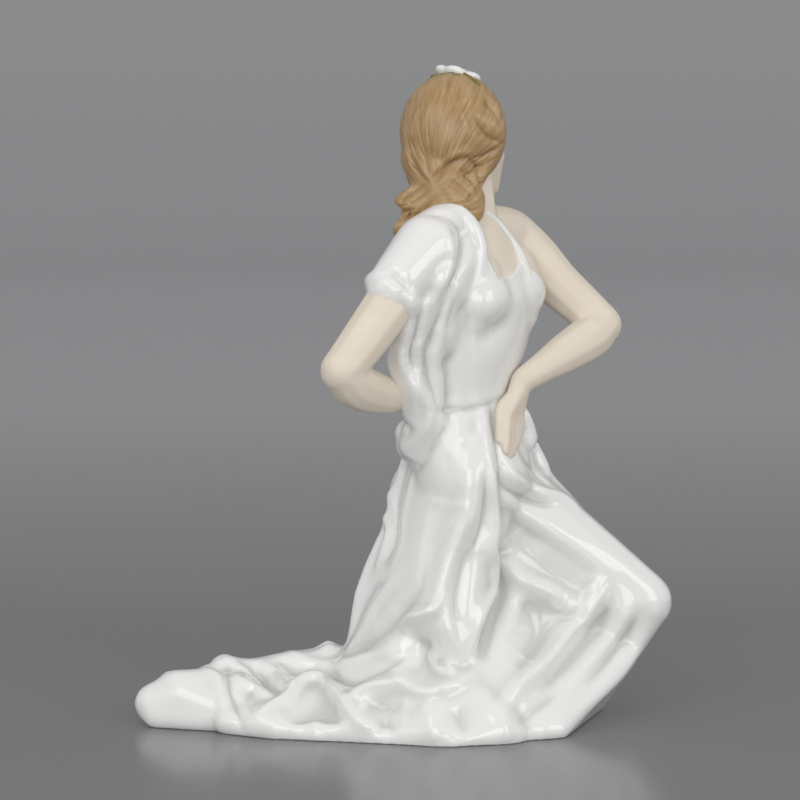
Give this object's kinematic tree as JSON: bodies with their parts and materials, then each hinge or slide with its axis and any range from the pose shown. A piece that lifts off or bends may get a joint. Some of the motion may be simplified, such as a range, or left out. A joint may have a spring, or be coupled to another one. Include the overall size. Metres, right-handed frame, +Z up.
{
  "type": "porcelain dancer figurine",
  "caption": "Glazed porcelain figurine of a dancer in a long draped dress, kneeling in a lunge with hands on hips and head turned away.",
  "frame": {"origin": "on the ground, under the middle of the figure's outline", "axes": "+Z up, +X to the right of the pictured side towards the raised knee, +Y away from the pictured side"},
  "size_m": [0.2164, 0.1164, 0.262],
  "materials": {
    "white_porcelain": "clear gloss glaze over white porcelain; skin matt cream, hair painted brown"
  },
  "bodies": {
    "root": {"dancer": "white_porcelain"}
  },
  "joints": []
}
